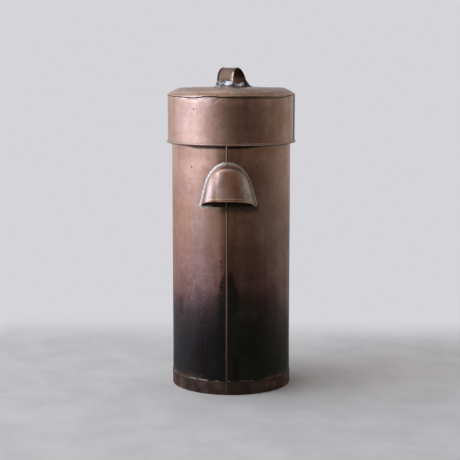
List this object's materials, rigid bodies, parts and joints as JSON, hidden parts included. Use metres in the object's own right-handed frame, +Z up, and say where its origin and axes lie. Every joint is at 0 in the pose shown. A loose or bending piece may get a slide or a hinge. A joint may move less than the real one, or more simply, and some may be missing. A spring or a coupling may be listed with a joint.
{
  "type": "sterilization drum",
  "caption": "Tall copper steam sterilization drum with a deep slip-on lid, strap handle, cup grips, lift-out grate and perforated basket with bail.",
  "frame": {"origin": "on the floor, at the centre of the drum's foot, on its axis", "axes": "+Z up the drum's axis, -Y towards the front grip and the wall's seam, +X to the right seen from the front"},
  "size_m": [0.2606, 0.3178, 0.6441],
  "materials": {
    "drum_copper": "aged copper, fire-blackened towards the foot",
    "seam_copper": "aged copper, rubbed on the fold",
    "grip_copper": "aged copper, worn smooth",
    "lid_copper": "aged copper with brown patina",
    "handle_copper": "aged copper, dark patina",
    "bottom_copper": "fire-scaled copper",
    "rivet_copper": "plain copper",
    "tinned_copper": "dull hot-tinned sheet",
    "solder": "dull tin-lead solder",
    "iron_wire": "dark tinned iron wire"
  },
  "bodies": {
    "drum": {"body_wall": "drum_copper", "body_seam": "seam_copper", "body_rim_wire": "iron_wire", "bottom_plate": "bottom_copper", "bottom_solder": "solder", "base_solder_line": "solder", "front_grip": "grip_copper", "front_grip_solder": "solder", "rear_grip": "grip_copper", "rear_grip_solder": "solder"},
    "grate": {"grate_plate": "tinned_copper", "grate_legs": "tinned_copper", "grate_rivets": "rivet_copper"},
    "basket": {"basket_wall": "tinned_copper", "basket_bottom": "tinned_copper", "basket_rim_wire": "iron_wire", "basket_ears": "tinned_copper", "basket_ear_rivets": "rivet_copper"},
    "bail": {"basket_bail": "iron_wire"},
    "lid": {"lid_top": "lid_copper", "lid_skirt": "lid_copper", "lid_skirt_seam": "seam_copper", "lid_rim_wire": "iron_wire", "lid_edge_solder": "solder", "lid_handle": "handle_copper", "lid_handle_solder": "solder"}
  },
  "joints": [
    {"name": "grate_lift", "type": "slide", "parent": "drum", "child": "grate", "axis": [0, 0, 1], "range_m": [0, 0.58]},
    {"name": "basket_lift", "type": "slide", "parent": "grate", "child": "basket", "axis": [0, 0, 1], "range_m": [0, 0.5]},
    {"name": "bail_swing", "type": "hinge", "parent": "basket", "child": "bail", "pos_m": [0, 0, 0.4694], "axis": [-1, 0, 0], "range_deg": [0, 180]},
    {"name": "lid_lift", "type": "slide", "parent": "basket", "child": "lid", "axis": [0, 0, 1], "range_m": [0, 0.3]}
  ]
}
